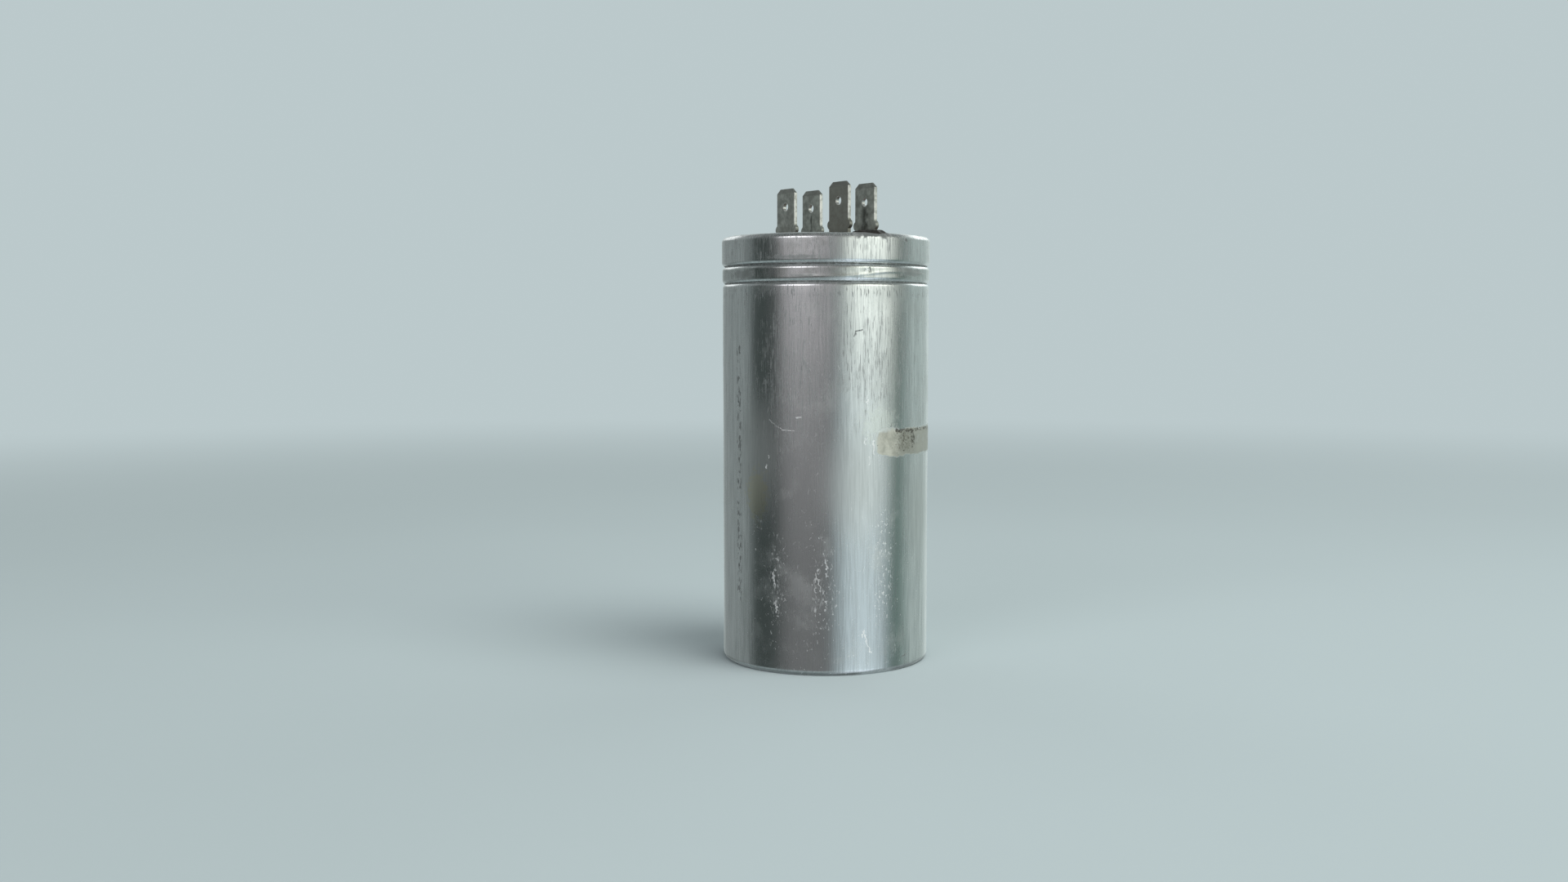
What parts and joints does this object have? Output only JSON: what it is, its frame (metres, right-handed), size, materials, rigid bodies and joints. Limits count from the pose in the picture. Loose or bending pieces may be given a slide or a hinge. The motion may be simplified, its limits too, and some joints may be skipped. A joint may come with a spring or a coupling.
{
  "type": "motor run capacitor",
  "caption": "Round drawn aluminium capacitor can with a rolled neck, closed by a lid that carries riveted terminals with upright push-on tabs.",
  "frame": {"origin": "centre of the can's flat base", "axes": "+Z along the can's axis, from the base to the tabs; +X from the left terminal to the right one"},
  "size_m": [0.0454, 0.0454, 0.1032],
  "materials": {
    "can_aluminium": "drawn, dull and scuffed",
    "lid_phenolic": "matt dark brown",
    "seal_rubber": "matt black",
    "tinned_strip": "tinned, tarnished",
    "tinned_rivet": "tinned, tarnished",
    "lead_copper": "bare copper",
    "film": "metallised film",
    "inner_plastic": "natural white",
    "sprayed_metal": "sprayed, grainy",
    "sleeve": "wrapped film"
  },
  "bodies": {
    "root": {"can": "can_aluminium", "lid": "lid_phenolic", "seal_ring": "seal_rubber", "terminal_left": "tinned_strip", "terminal_right": "tinned_strip", "terminal_rivets": "tinned_rivet", "tag_left": "tinned_strip", "tag_right": "tinned_strip", "lead_short": "lead_copper", "lead_long": "lead_copper", "film_roll": "film", "core_tube": "inner_plastic", "contact_top": "sprayed_metal", "contact_bottom": "sprayed_metal", "wrap_sleeve": "sleeve", "base_dish": "inner_plastic", "top_disc": "inner_plastic"}
  },
  "joints": []
}
